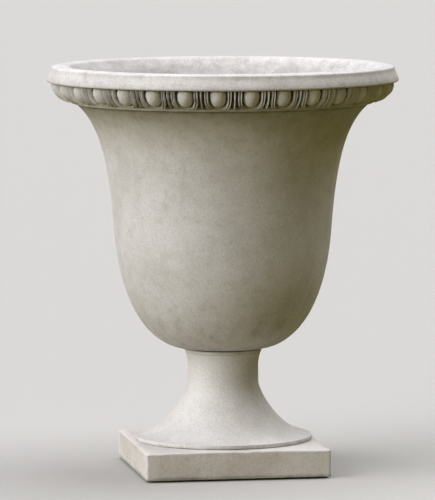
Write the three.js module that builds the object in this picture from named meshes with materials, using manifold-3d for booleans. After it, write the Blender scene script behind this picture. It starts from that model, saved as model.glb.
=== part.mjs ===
// Garden urn in cast limestone: a square plinth, a turned foot and an open bowl with a rolled lip
// and an egg-and-dart band. A threaded drain tube clamps the foot to the plinth and centres the bowl.
// Millimetres, +Z up, origin on the ground under the middle of the plinth, front face towards -Y.

import * as THREE from "three";
import { mergeVertices } from "three/addons/utils/BufferGeometryUtils.js";
import Module from "manifold-3d";

const wasm = await Module();
wasm.setup();

// Facets of large rounds, small rounds and curves
const ROUND_FACETS = 64;
const SMALL_FACETS = 24;
const BELL_STEPS = 6;
const FLARE_STEPS = 8;
const NECK_STEPS = 3;
const CORNER_STEPS = 2;
const BAND_STEPS = 3;

// Pads and plinth
const PAD_THICKNESS = 3.5;
const PAD_SIDE = 50;
const PAD_CORNER_RADIUS = 5;
const PAD_INSET = 16;
const PLINTH_SIDE = 321;
const PLINTH_HEIGHT = 49.5;
const PLINTH_ARRIS = 3;
const PLINTH_CORNER_RADIUS = 1;
const PLINTH_RECESS_RADIUS = 33;
const PLINTH_RECESS_DEPTH = 24;

// Mortar bed and foot
const BED_THICKNESS = 1;
const BED_INSET = 6;
const FOOT_HEIGHT = 157;
const FOOT_EDGE_RADIUS = 154.5;
const FOOT_EDGE_HEIGHT = 6.3;
const WAIST_RADIUS = 61.5;
const WAIST_HEIGHT = 100;
const COLLAR_RADIUS = 66.5;
const COLLAR_HEIGHT = 5;
const COLLAR_STEP = 1;
const FOOT_RECESS_RADIUS = 32;
const FOOT_RECESS_DEPTH = 18;
const FLARE_SHARES = { edgeReach: 0.59, edgeRise: 0.06, waistDrop: 0.2 };
const NECK_SHARES = { waistRise: 0.53, collarDrop: 0.4, collarLean: 0.3 };

// Drain tube with its nuts and washers
const TUBE_RADIUS = 16.5;
const TUBE_BORE_RADIUS = 13.5;
const TUBE_END = 3;
const TUBE_SPIGOT_HEIGHT = 24;
const TUBE_CLEARANCE = 1.5;
const THREAD_GAP = 0.3;
const WASHER_RADIUS = 28;
const WASHER_THICKNESS = 3;
const NUT_ACROSS_FLATS = 46;
const NUT_HEIGHT = 12;

// Gasket between the foot and the bowl
const GASKET_THICKNESS = 3;
const GASKET_INSET = 4;
const GASKET_LAP = 4;

// Bowl wall and bell
const BOWL_SEAT_RADIUS = 79;
const BELLY_RADIUS = 185;
const BELLY_HEIGHT = 172;
const BELL_TOP_RADIUS = 255;
const BELL_HEIGHT = 424.5;
const WALL_THICKNESS = 38;
const FLOOR_THICKNESS = 42;
const FLOOR_FLAT_RADIUS = 52;
const BELLY_LEAN_SHARE = 0.13;
const BELL_TOP_LEAN_SHARE = 1.29;
const BELL_SHARES = { seatReach: 0.505, seatRise: 0.064, bellyDrop: 0.56, bellyRise: 0.27, topDrop: 0.19 };

// Egg-and-dart band
const BAND_HEIGHT = 37.8;
const LEDGE_RADIUS = 262;
const LEDGE_HEIGHT = 5.5;
const LEDGE_RISE = 1;
const BAND_CORE_RADIUS = 258;
const GROUND_REACH = 31;
const GROUND_DROP = 31;
const GROUND_START_DEGREES = -75;
const EGG_COUNT = 32;
const EGG_WIDTH = 26;
const EGG_REACH = 39;
const EGG_DROP = 32.5;
const DART_WIDTH = 4.5;
const DART_REACH = 37;
const DART_DROP = 32;
const EGG_FACETS = 8;
const DART_FACETS = 4;
const BAND_EMBED = 2;

// Lip
const LIP_RADIUS = 305;
const LIP_HEIGHT = 27.7;
const LIP_BATTER = 7;
const LIP_BOTTOM_ROUND = 3.5;
const LIP_TOP_ROUND = 4;
const RIM_CROWN = 2;
const MOUTH_RADIUS = 258;
const MOUTH_ROUND = 6;

// Outlet sleeve and drain screen
const SLEEVE_RADIUS = 22;
const SLEEVE_WALL = 3;
const SLEEVE_GAP = 0.3;
const FLANGE_RADIUS = 39;
const FLANGE_THICKNESS = 4;
const SCREEN_RADIUS = 36;
const SCREEN_THICKNESS = 2.5;
const SCREEN_HOLE_RADIUS = 4.5;
const SCREEN_HOLE_CIRCLE_RADIUS = 13;
const SCREEN_HOLE_COUNT = 6;
const SCREEN_HOLE_FACETS = 8;

// Heights of the seats above the ground
const PLINTH_Z = PAD_THICKNESS;
const BED_Z = PLINTH_Z + PLINTH_HEIGHT;
const FOOT_Z = BED_Z + BED_THICKNESS;
const FOOT_TOP_Z = FOOT_Z + FOOT_HEIGHT;
const BOWL_Z = FOOT_TOP_Z + GASKET_THICKNESS;
const LOWER_WASHER_Z = PLINTH_Z + PLINTH_RECESS_DEPTH - WASHER_THICKNESS;
const LOWER_NUT_Z = LOWER_WASHER_Z - NUT_HEIGHT;
const TUBE_Z = LOWER_NUT_Z - TUBE_END;
const TUBE_TOP_Z = BOWL_Z + TUBE_SPIGOT_HEIGHT;
const UPPER_WASHER_Z = FOOT_TOP_Z - FOOT_RECESS_DEPTH;
const UPPER_NUT_Z = UPPER_WASHER_Z + WASHER_THICKNESS;

// Sizes that follow from the tube and the sleeve
const CORE_HOLE_RADIUS = TUBE_RADIUS + TUBE_CLEARANCE;
const THREAD_HOLE_RADIUS = TUBE_RADIUS + THREAD_GAP;
const OUTLET_HOLE_RADIUS = SLEEVE_RADIUS + SLEEVE_GAP;
const REBATE_RADIUS = FLANGE_RADIUS + SLEEVE_GAP;
const SLEEVE_BORE_RADIUS = SLEEVE_RADIUS - SLEEVE_WALL;

const stone = () => new THREE.MeshStandardMaterial({ color: 0xcdc9bd, roughness: 0.92, metalness: 0 });
const mortar = () => new THREE.MeshStandardMaterial({ color: 0xa39d8e, roughness: 0.95, metalness: 0 });
const rubber = () => new THREE.MeshStandardMaterial({ color: 0x24231f, roughness: 0.85, metalness: 0 });
const steel = () => new THREE.MeshStandardMaterial({ color: 0xa7a9a8, roughness: 0.4, metalness: 1 });
const plastic = () => new THREE.MeshStandardMaterial({ color: 0x6f7274, roughness: 0.6, metalness: 0 });

function point(radius, height) {
  return new THREE.Vector2(radius, height);
}

// One outline from points and runs of points, without doubled points
function trace(...runs) {
  const points = runs.flat();
  return points.filter((p, i) => i === 0 || !p.equals(points[i - 1]));
}

function turned(points, facets) {
  return new THREE.LatheGeometry(points, facets).rotateX(Math.PI / 2);
}

function turnedRing(inner, outer, height, facets) {
  const low = point(inner, 0);
  return turned([low, point(outer, 0), point(outer, height), point(inner, height), low], facets);
}

// Rounded corner of an outline between two points
function corner(start, sharp, end) {
  return new THREE.QuadraticBezierCurve(start, sharp, end).getPoints(CORNER_STEPS);
}

function solid(geometry) {
  const bare = geometry.clone().deleteAttribute("normal").deleteAttribute("uv");
  const merged = mergeVertices(bare);
  const vertProperties = new Float32Array(merged.attributes.position.array);
  const triVerts = new Uint32Array(merged.index.array);
  return new wasm.Manifold(new wasm.Mesh({ numProp: 3, vertProperties, triVerts }));
}

function surface(body) {
  const mesh = body.getMesh();
  const geometry = new THREE.BufferGeometry();
  geometry.setAttribute("position", new THREE.BufferAttribute(mesh.vertProperties, 3));
  geometry.setIndex(new THREE.BufferAttribute(mesh.triVerts, 1));
  geometry.computeVertexNormals();
  return geometry;
}

function piece(name, geometry, material, z) {
  const mesh = new THREE.Mesh(geometry, material);
  mesh.name = name;
  mesh.position.z = z;
  return mesh;
}

function roundedSquare(side, radius) {
  const half = side / 2;
  const shape = new THREE.Shape();
  shape.moveTo(radius - half, -half);
  shape.lineTo(half - radius, -half);
  shape.absarc(half - radius, radius - half, radius, -Math.PI / 2, 0);
  shape.lineTo(half, half - radius);
  shape.absarc(half - radius, half - radius, radius, 0, Math.PI / 2);
  shape.lineTo(radius - half, half);
  shape.absarc(radius - half, half - radius, radius, Math.PI / 2, Math.PI);
  shape.lineTo(-half, radius - half);
  shape.absarc(radius - half, radius - half, radius, Math.PI, Math.PI * 1.5);
  return shape;
}

// Square block with eased arrises, open in the middle for the tube and recessed below for its nut
function plinthGeometry() {
  const plan = roundedSquare(PLINTH_SIDE - 2 * PLINTH_ARRIS, PLINTH_CORNER_RADIUS);
  const options = {
    depth: PLINTH_HEIGHT - 2 * PLINTH_ARRIS,
    bevelThickness: PLINTH_ARRIS,
    bevelSize: PLINTH_ARRIS,
    bevelSegments: CORNER_STEPS,
    curveSegments: CORNER_STEPS,
  };
  const block = new THREE.ExtrudeGeometry(plan, options).translate(0, 0, PLINTH_ARRIS);
  const well = turned(
    [
      point(0, -PLINTH_HEIGHT),
      point(PLINTH_RECESS_RADIUS, -PLINTH_HEIGHT),
      point(PLINTH_RECESS_RADIUS, PLINTH_RECESS_DEPTH),
      point(CORE_HOLE_RADIUS, PLINTH_RECESS_DEPTH),
      point(CORE_HOLE_RADIUS, 2 * PLINTH_HEIGHT),
      point(0, 2 * PLINTH_HEIGHT),
    ],
    SMALL_FACETS,
  );
  return surface(solid(block).subtract(solid(well)));
}

function padGeometry() {
  const shape = roundedSquare(PAD_SIDE, PAD_CORNER_RADIUS);
  const options = { depth: PAD_THICKNESS, bevelEnabled: false, curveSegments: CORNER_STEPS };
  return new THREE.ExtrudeGeometry(shape, options);
}

// Turned foot: sharp disc edge, long flare to the waist, short neck and a collar with a nut recess
function footOutline() {
  const edge = point(FOOT_EDGE_RADIUS, FOOT_EDGE_HEIGHT);
  const waist = point(WAIST_RADIUS, WAIST_HEIGHT);
  const neck = point(COLLAR_RADIUS - COLLAR_STEP, FOOT_HEIGHT - COLLAR_HEIGHT);
  const flareReach = edge.x - waist.x;
  const flareRise = waist.y - edge.y;
  const neckRise = neck.y - waist.y;
  const neckDrop = NECK_SHARES.collarDrop * neckRise;
  const flare = new THREE.CubicBezierCurve(
    edge,
    point(edge.x - FLARE_SHARES.edgeReach * flareReach, edge.y + FLARE_SHARES.edgeRise * flareRise),
    point(waist.x, waist.y - FLARE_SHARES.waistDrop * flareRise),
    waist,
  );
  const neckCurve = new THREE.CubicBezierCurve(
    waist,
    point(waist.x, waist.y + NECK_SHARES.waistRise * neckRise),
    point(neck.x - NECK_SHARES.collarLean * neckDrop, neck.y - neckDrop),
    neck,
  );
  const recessFloor = FOOT_HEIGHT - FOOT_RECESS_DEPTH;
  return trace(
    point(CORE_HOLE_RADIUS, 0),
    point(FOOT_EDGE_RADIUS, 0),
    flare.getPoints(FLARE_STEPS),
    neckCurve.getPoints(NECK_STEPS),
    point(COLLAR_RADIUS, neck.y),
    point(COLLAR_RADIUS, FOOT_HEIGHT),
    point(FOOT_RECESS_RADIUS, FOOT_HEIGHT),
    point(FOOT_RECESS_RADIUS, recessFloor),
    point(CORE_HOLE_RADIUS, recessFloor),
    point(CORE_HOLE_RADIUS, 0),
  );
}

function nutGeometry() {
  const reach = point(NUT_ACROSS_FLATS / Math.sqrt(3), 0);
  const middle = point(0, 0);
  const corners = Array.from({ length: 6 }, (_, i) => reach.clone().rotateAround(middle, (i * Math.PI) / 3));
  const shape = new THREE.Shape(corners);
  shape.holes.push(new THREE.Path().absarc(0, 0, THREAD_HOLE_RADIUS, 0, 2 * Math.PI, true));
  const options = { depth: NUT_HEIGHT, bevelEnabled: false, curveSegments: SMALL_FACETS / 2 };
  return new THREE.ExtrudeGeometry(shape, options);
}

// Bell curve of the bowl's wall, outside or inside, from its flat bottom past the belly to its top
function bell(bottom, belly, top) {
  const lowReach = belly.x - bottom.x;
  const lowRise = belly.y - bottom.y;
  const highRise = top.y - belly.y;
  const bellyDrop = BELL_SHARES.bellyDrop * lowRise;
  const bellyRise = BELL_SHARES.bellyRise * highRise;
  const topDrop = BELL_SHARES.topDrop * highRise;
  const lower = new THREE.CubicBezierCurve(
    bottom,
    point(bottom.x + BELL_SHARES.seatReach * lowReach, bottom.y + BELL_SHARES.seatRise * lowRise),
    point(belly.x - BELLY_LEAN_SHARE * bellyDrop, belly.y - bellyDrop),
    belly,
  );
  const upper = new THREE.CubicBezierCurve(
    belly,
    point(belly.x + BELLY_LEAN_SHARE * bellyRise, belly.y + bellyRise),
    point(top.x - BELL_TOP_LEAN_SHARE * topDrop, top.y - topDrop),
    top,
  );
  return [...lower.getPoints(BELL_STEPS), ...upper.getPoints(BELL_STEPS).slice(1)];
}

// Lip from its underside over the crowned rim to the mouth
function lipOutline(bottom) {
  const top = bottom + LIP_HEIGHT;
  const shoulder = top - RIM_CROWN;
  const faceRadius = LIP_RADIUS - LIP_BATTER;
  const outerEnd = point(faceRadius - LIP_TOP_ROUND, shoulder);
  const mouthStart = point(MOUTH_RADIUS + MOUTH_ROUND, shoulder);
  const crownMiddle = point((outerEnd.x + mouthStart.x) / 2, top + RIM_CROWN);
  const crown = new THREE.QuadraticBezierCurve(outerEnd, crownMiddle, mouthStart);
  return trace(
    corner(
      point(LIP_RADIUS - LIP_BOTTOM_ROUND, bottom),
      point(LIP_RADIUS, bottom),
      point(LIP_RADIUS, bottom + LIP_BOTTOM_ROUND),
    ),
    corner(point(faceRadius, shoulder - LIP_TOP_ROUND), point(faceRadius, shoulder), outerEnd),
    crown.getPoints(2 * CORNER_STEPS),
    corner(mouthStart, point(MOUTH_RADIUS, shoulder), point(MOUTH_RADIUS, shoulder - MOUTH_ROUND)),
  );
}

// Recessed face of the band, a quarter of an ellipse that ends under the lip
function groundOutline(lipBottom) {
  const start = THREE.MathUtils.degToRad(GROUND_START_DEGREES);
  const ellipse = new THREE.EllipseCurve(BAND_CORE_RADIUS, lipBottom, GROUND_REACH, GROUND_DROP, start, 0);
  return ellipse.getPoints(BAND_STEPS);
}

function bowlOutline() {
  const lipBottom = BELL_HEIGHT + BAND_HEIGHT;
  const ledgeBottom = BELL_HEIGHT + LEDGE_RISE;
  const rebateFloor = FLOOR_THICKNESS - FLANGE_THICKNESS;
  const belly = point(BELLY_RADIUS, BELLY_HEIGHT);
  const innerBelly = point(BELLY_RADIUS - WALL_THICKNESS, BELLY_HEIGHT);
  const lip = lipOutline(lipBottom);
  const mouth = lip[lip.length - 1];
  return trace(
    point(OUTLET_HOLE_RADIUS, 0),
    bell(point(BOWL_SEAT_RADIUS, 0), belly, point(BELL_TOP_RADIUS, BELL_HEIGHT)),
    point(LEDGE_RADIUS, ledgeBottom),
    point(LEDGE_RADIUS, ledgeBottom + LEDGE_HEIGHT),
    groundOutline(lipBottom),
    lip,
    bell(point(FLOOR_FLAT_RADIUS, FLOOR_THICKNESS), innerBelly, mouth).reverse(),
    point(REBATE_RADIUS, FLOOR_THICKNESS),
    point(REBATE_RADIUS, rebateFloor),
    point(OUTLET_HOLE_RADIUS, rebateFloor),
    point(OUTLET_HOLE_RADIUS, 0),
  );
}

// Half of an ellipsoid below the lip, as wide as asked where it leaves the ground of the band
function boss(width, reach, drop, facets) {
  const spread = width / 2 / Math.sqrt(1 - (GROUND_REACH / reach) ** 2);
  const quarter = new THREE.EllipseCurve(0, 0, reach, drop, -Math.PI / 2, 0).getPoints(BAND_STEPS);
  const profile = [point(0, -drop), ...quarter.slice(1), point(reach, BAND_EMBED), point(0, BAND_EMBED)];
  const lipBottom = BELL_HEIGHT + BAND_HEIGHT;
  return turned(profile, facets).scale(1, spread / reach, 1).translate(BAND_CORE_RADIUS, 0, lipBottom);
}

function bandBosses() {
  const pitch = (2 * Math.PI) / EGG_COUNT;
  const egg = boss(EGG_WIDTH, EGG_REACH, EGG_DROP, EGG_FACETS);
  const dart = boss(DART_WIDTH, DART_REACH, DART_DROP, DART_FACETS);
  const eggs = Array.from({ length: EGG_COUNT }, (_, i) => solid(egg.clone().rotateZ(i * pitch)));
  const darts = Array.from({ length: EGG_COUNT }, (_, i) => solid(dart.clone().rotateZ((i + 0.5) * pitch)));
  const all = [...eggs, ...darts].reduce((sum, next) => sum.add(next));
  const coreTop = BELL_HEIGHT + 2 * BAND_HEIGHT;
  const core = [point(0, 0), point(BAND_CORE_RADIUS, 0), point(BAND_CORE_RADIUS, coreTop), point(0, coreTop)];
  return all.subtract(solid(turned(core, ROUND_FACETS)));
}

function bowlGeometry() {
  return surface(solid(turned(bowlOutline(), ROUND_FACETS)).add(bandBosses()));
}

function sleeveGeometry() {
  const underFlange = FLOOR_THICKNESS - FLANGE_THICKNESS;
  const outline = [
    point(SLEEVE_BORE_RADIUS, 0),
    point(SLEEVE_RADIUS, 0),
    point(SLEEVE_RADIUS, underFlange),
    point(FLANGE_RADIUS, underFlange),
    point(FLANGE_RADIUS, FLOOR_THICKNESS),
    point(SLEEVE_BORE_RADIUS, FLOOR_THICKNESS),
    point(SLEEVE_BORE_RADIUS, 0),
  ];
  return turned(outline, SMALL_FACETS);
}

function screenGeometry() {
  const shape = new THREE.Shape().absarc(0, 0, SCREEN_RADIUS, 0, 2 * Math.PI, false);
  const addHole = (x, y) => {
    shape.holes.push(new THREE.Path().absarc(x, y, SCREEN_HOLE_RADIUS, 0, 2 * Math.PI, true));
  };
  addHole(0, 0);
  for (let i = 0; i < SCREEN_HOLE_COUNT; i += 1) {
    const angle = (2 * Math.PI * i) / SCREEN_HOLE_COUNT;
    addHole(SCREEN_HOLE_CIRCLE_RADIUS * Math.cos(angle), SCREEN_HOLE_CIRCLE_RADIUS * Math.sin(angle));
  }
  const options = { depth: SCREEN_THICKNESS, bevelEnabled: false, curveSegments: SCREEN_HOLE_FACETS };
  return new THREE.ExtrudeGeometry(shape, options);
}

function base() {
  const group = new THREE.Group();
  const reach = PLINTH_SIDE / 2 - PAD_INSET - PAD_SIDE / 2;
  const corners = { front_left: [-1, -1], front_right: [1, -1], back_left: [-1, 1], back_right: [1, 1] };
  for (const [place, [x, y]] of Object.entries(corners)) {
    const pad = piece(`pad_${place}`, padGeometry(), rubber(), 0);
    pad.position.x = x * reach;
    pad.position.y = y * reach;
    group.add(pad);
  }
  const washer = () => turnedRing(THREAD_HOLE_RADIUS, WASHER_RADIUS, WASHER_THICKNESS, SMALL_FACETS);
  const bed = turnedRing(CORE_HOLE_RADIUS, FOOT_EDGE_RADIUS - BED_INSET, BED_THICKNESS, SMALL_FACETS);
  const tube = turnedRing(TUBE_BORE_RADIUS, TUBE_RADIUS, TUBE_TOP_Z - TUBE_Z, SMALL_FACETS);
  group.add(piece("plinth", plinthGeometry(), stone(), PLINTH_Z));
  group.add(piece("foot_bed", bed, mortar(), BED_Z));
  group.add(piece("foot", turned(footOutline(), ROUND_FACETS), stone(), FOOT_Z));
  group.add(piece("drain_tube", tube, steel(), TUBE_Z));
  group.add(piece("lower_washer", washer(), steel(), LOWER_WASHER_Z));
  group.add(piece("lower_nut", nutGeometry(), steel(), LOWER_NUT_Z));
  group.add(piece("upper_washer", washer(), steel(), UPPER_WASHER_Z));
  group.add(piece("upper_nut", nutGeometry(), steel(), UPPER_NUT_Z));
  return group;
}

function gasket() {
  const inner = FOOT_RECESS_RADIUS + GASKET_LAP;
  const ring = turnedRing(inner, COLLAR_RADIUS - GASKET_INSET, GASKET_THICKNESS, SMALL_FACETS);
  return piece("bowl_gasket", ring, rubber(), FOOT_TOP_Z);
}

function bowlGroup() {
  const group = new THREE.Group();
  group.position.z = BOWL_Z;
  group.add(piece("bowl", bowlGeometry(), stone(), 0));
  group.add(piece("outlet_sleeve", sleeveGeometry(), plastic(), 0));
  group.add(piece("drain_screen", screenGeometry(), steel(), FLOOR_THICKNESS));
  return group;
}

const urn = new THREE.Group();
urn.add(base(), gasket(), bowlGroup());

export default urn;
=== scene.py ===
import math

import bmesh
import bpy
import numpy as np
from mathutils import Matrix, Vector, noise


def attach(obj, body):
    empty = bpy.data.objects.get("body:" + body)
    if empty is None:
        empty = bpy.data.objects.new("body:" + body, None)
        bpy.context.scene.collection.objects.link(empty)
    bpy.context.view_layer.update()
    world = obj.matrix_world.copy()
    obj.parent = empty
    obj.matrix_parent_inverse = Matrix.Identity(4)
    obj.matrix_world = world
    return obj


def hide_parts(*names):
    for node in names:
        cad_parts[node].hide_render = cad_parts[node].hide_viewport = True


# Garden urn in cast limestone: the looks of its castings, fixings, seals and drain, in metres.

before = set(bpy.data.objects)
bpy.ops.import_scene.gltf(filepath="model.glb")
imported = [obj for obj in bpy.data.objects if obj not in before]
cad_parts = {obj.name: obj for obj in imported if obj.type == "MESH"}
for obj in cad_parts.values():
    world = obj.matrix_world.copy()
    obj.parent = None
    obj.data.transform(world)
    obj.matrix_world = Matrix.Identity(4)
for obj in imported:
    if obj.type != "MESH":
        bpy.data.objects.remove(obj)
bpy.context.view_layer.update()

MM = 0.001

# Camera of the photograph: place, directions and lens
CAMERA_PLACE = (-1.3671, -7.9448, 1.1560)
CAMERA_AZIMUTH = math.radians(-9.698)
CAMERA_PITCH = math.radians(5.484)
CAMERA_ROLL = math.radians(-0.120)
SENSOR = 36.0
FOCAL_PIXELS = 4662.735
PHOTO_HEIGHT = 500
LENS = FOCAL_PIXELS * SENSOR / PHOTO_HEIGHT
CLIP_END = 200.0

# The solid model, in millimetres, with heights from each casting's own underside
PAD_THICKNESS = 3.5
PAD_SIDE = 50.0
PAD_REACH = 119.5
PLINTH_HALF = 160.5
PLINTH_HEIGHT = 49.5
PLINTH_CORNER = 4.0
PLINTH_RECESS = (33.0, 24.0)  # radius, depth
BED_THICKNESS = 1.0
BED_RADIUS = 152.5
FOOT_HEIGHT = 157.0
FOOT_EDGE = (154.5, 6.3)  # radius and height of the disc edge
WAIST = (61.5, 100.0)  # radius, height
COLLAR = (66.5, 5.0, 1.0)  # radius, height, step out from the neck
FOOT_RECESS = (32.0, 18.0)  # radius, depth
CORE_HOLE = 18.0
TUBE_RADIUS = 16.5
TUBE_BORE = 13.5
TUBE_ENDS = (3.0, 24.0)  # past the lower nut, past the bowl's underside
THREAD_HOLE = 16.8
WASHER = (28.0, 3.0)  # radius, thickness
NUT = (23.0, 12.0)  # half the width across flats, height
GASKET = (36.0, 62.5, 3.0)  # inner radius, outer radius, thickness
SEAT_RADIUS = 79.0
BELLY = (185.0, 172.0)  # radius, height
BELL_TOP = (255.0, 424.5)  # radius, height
WALL = 38.0
FLOOR = (52.0, 42.0)  # radius, height
OUTLET_HOLE = 22.3
REBATE = (39.3, 4.0)  # radius, depth
BAND_HEIGHT = 37.8
LEDGE = (262.0, 1.0, 5.5)  # radius, rise over the bell's top, thickness
BAND_CORE = 258.0
GROUND = (31.0, 31.0)  # reach and drop of the quarter round under the carving
LIP = (305.0, 27.7, 7.0)  # radius, height, batter
LIP_ROUNDS = (3.5, 4.0)  # lower, upper
RIM_CROWN = 2.0
MOUTH = (258.0, 6.0)  # radius, round
SLEEVE = (19.0, 22.0, 39.0, 4.0)  # bore, outer radius, flange radius, flange thickness
SCREEN = (36.0, 2.5)  # radius, thickness
SCREEN_HOLE = 4.5
SCREEN_HOLE_CIRCLE = 13.0

# Details and wear that the solid model leaves out, in millimetres
PLINTH_WASH = (9.0, 2.4)  # reach and drop of the plinth's worn top arris
PLINTH_TIPS = (1.6, 40.0)  # further drop at its corners, and how far along the arris it reaches
WASHED_REACH = 40.0  # how far down from the rim's top its inside is washed pale
BAND_SEAT = (1.0, 3.0)  # how far the casting steps in behind the band, and how high
LIP_FLAT = 3.0
THREAD = (2.31, 1.0)  # pitch, rise
SCREEN_EASE = 0.5
PAD_CORNER = 5.0
PAD_RIBS = 9
PAD_RIB = (0.75, 0.6)  # radius, height over the pad's core
PAD_RIB_MARGINS = (4.0, 3.0)  # from the outer ribs' middles and the ribs' ends to the pad's edge

# Heights above the ground
PLINTH_Z = PAD_THICKNESS
BED_Z = PLINTH_Z + PLINTH_HEIGHT
FOOT_Z = BED_Z + BED_THICKNESS
GASKET_Z = FOOT_Z + FOOT_HEIGHT
BOWL_Z = GASKET_Z + GASKET[2]
LIP_Z = BELL_TOP[1] + BAND_HEIGHT
LOWER_WASHER_Z = PLINTH_Z + PLINTH_RECESS[1] - WASHER[1]
LOWER_NUT_Z = LOWER_WASHER_Z - NUT[1]
TUBE_Z = (LOWER_NUT_Z - TUBE_ENDS[0], BOWL_Z + TUBE_ENDS[1])
UPPER_WASHER_Z = GASKET_Z - FOOT_RECESS[1]
UPPER_NUT_Z = UPPER_WASHER_Z + WASHER[1]

# Curves of the castings, as shares of their spans
FLARE_SHARES = (0.59, 0.06, 0.2)
NECK_SHARES = (0.53, 0.4, 0.3)
BELLY_LEAN_SHARE = 0.13
BELL_TOP_LEAN_SHARE = 1.29
BELL_SHARES = (0.505, 0.064, 0.56, 0.27, 0.19)

# Egg-and-dart band, drawn on its face from the ledge up, in millimetres
EGGS = 32
FACE_LENGTH = 58.0
FACE_HALF = 28.7
FACE_LOW = 2.6
FACE_SPLIT = 22.0  # the rows of points lie closer together below it
EGG_MIDDLE = 45.0
EGG_HALF = 14.0
EGG_DROP = 27.5
EGG_TOP_SHARE = 0.68
EGG_RISE = 9.0
NEST_SHARE = 1.35  # how much deeper a rib's curve hangs for each millimetre that it is wider
NEST_POWER = 2.25  # 2 draws the curves round the egg as ellipses, and more makes them squarer
GROOVE_DEPTH = 3.6
POCKET_DEPTH = 4.8
RIBS = ((17.9, 1.75, 6.6), (22.0, 1.75, 6.4))  # middle, half-width, rise
RIB_VALLEY = 0.6
RIB_FADE = ((6.0, 26.0), (0.7, 1.0))  # heights on the face, and the share of the ribs' rise at them
DART_HALVES = (0.8, 2.3)  # at the bottom, at the top
DART_RISES = (6.0, 7.4)
DART_LOW = 4.0
LEDGE_SINK = 1.0
LEDGE_KNOBS = ((1.2, 9.0), (0.8, 3.0))  # rise and reach of the swelling under an egg and a dart
KNOB_MEAN = 0.5
BAND_BACK = 250.0
BAND_SUNK = 2.0  # how far the band's top reaches into the lip
CARVING_BLUR = (0.2, 0.3)  # across, up

# Soil and painted shade, wear and painted highlight of the band, as heights of the carving in millimetres
CLEAN_LEVELS = (3.6, 0.8)  # on ribs and darts, on eggs
SOIL_AND_SHADE_FADE = 2.6
CREST_LEVEL = 3.4
CREST_FADE = 1.4
# Crest paleness is wear and a painted highlight
CREST_WEAR_AND_HIGHLIGHT = (2.0, 0.5)  # likewise
# Painted shadow of the lip, with some soil, over the band's top
LIP_SHADE_AND_SOIL = (55.0, 0.8)  # where on the face it starts, and how strong it gets
FACE_END_FADE = 3.0

# Patches of the cast stone's finish, in millimetres, and shares of its layers
MOTTLE_PATCH = 95
BLOTCH_PATCH = 22
RUN_PATCH = 30
RUN_STRETCH = (1.0, 1.0, 0.2)
SAND_PATCH = 3.2
GRAIN_PATCH = 1.4
PINHOLE_SPACING = 9
SAND_TONES = (0.87, 1.08)
STAIN_SHARE = 0.22
PINHOLE_SHARE = 0.6
# Share of the dark tone where soil and painted shade are marked
SOIL_AND_SHADE_SHARE = 0.85
# Pale shares: wear on arrises, and on the band's crests wear and a painted highlight
PALE_SHARES = (0.5, 0.45)  # where wear is 1, and what comes on top where it is 2
# End of the top stain, which is partly painted shade and reflection under the band
TOP_STAIN_AND_SHADE_END = 0.01  # metres over which the top stain fades out

# Patches of a casting's unevenness and of its chips, in metres
UNEVEN_PATCHES = (0.075, 0.011)
CHIP_PATCHES = (0.016, 0.006)
CHIP_LEVEL = 0.25

# Facets
SHARP = 40.0  # degrees over which an edge isn't shaded smooth
CASTING_SEGMENTS = 320
FOOT_SEGMENTS = 256
SMALL_SEGMENTS = 72
THREAD_SEGMENTS = 40
NUT_SEGMENTS = 96
EASE_STEPS = 4
EASE_HOLD = 0.7
EASE_SHARES = (0.42, 0.48)  # most of a side that an ease takes, without and with its hold


class Wire:
    """A socket of a node tree, so that sums on it are written as Python sums."""

    def __init__(self, nodes, socket):
        self.nodes = nodes
        self.socket = socket

    def __add__(self, other):
        return self.nodes.maths("ADD", self, other)

    def __sub__(self, other):
        return self.nodes.maths("SUBTRACT", self, other)

    def __mul__(self, other):
        return self.nodes.maths("MULTIPLY", self, other)

    def __rmul__(self, other):
        return self.nodes.maths("MULTIPLY", other, self)


class Nodes:
    """A node tree with one way of adding a node to it."""

    def __init__(self, tree):
        self.tree = tree
        tree.nodes.clear()

    def node(self, kind, inputs=None, **settings):
        made = self.tree.nodes.new(kind)
        for name, value in settings.items():
            setattr(made, name, value)
        for name, value in (inputs or {}).items():
            if isinstance(value, Wire):
                self.tree.links.new(value.socket, made.inputs[name])
            else:
                made.inputs[name].default_value = value
        return made

    def wire(self, kind, inputs=None, out=0, **settings):
        """An output socket of a new node, ready for sums."""
        return Wire(self, self.node(kind, inputs, **settings).outputs[out])

    def maths(self, operation, first, second):
        return self.wire("ShaderNodeMath", {0: first, 1: second}, operation=operation)

    def shown(self):
        """One for rays that the camera sees, straight or in a reflection, and zero for all others."""
        path = self.node("ShaderNodeLightPath")
        kinds = ("Is Camera Ray", "Is Glossy Ray", "Is Transmission Ray")
        straight, glossy, through = (Wire(self, path.outputs[kind]) for kind in kinds)
        both = {0: straight + glossy, 1: through}
        return self.wire("ShaderNodeMath", both, operation="ADD", use_clamp=True)


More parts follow.
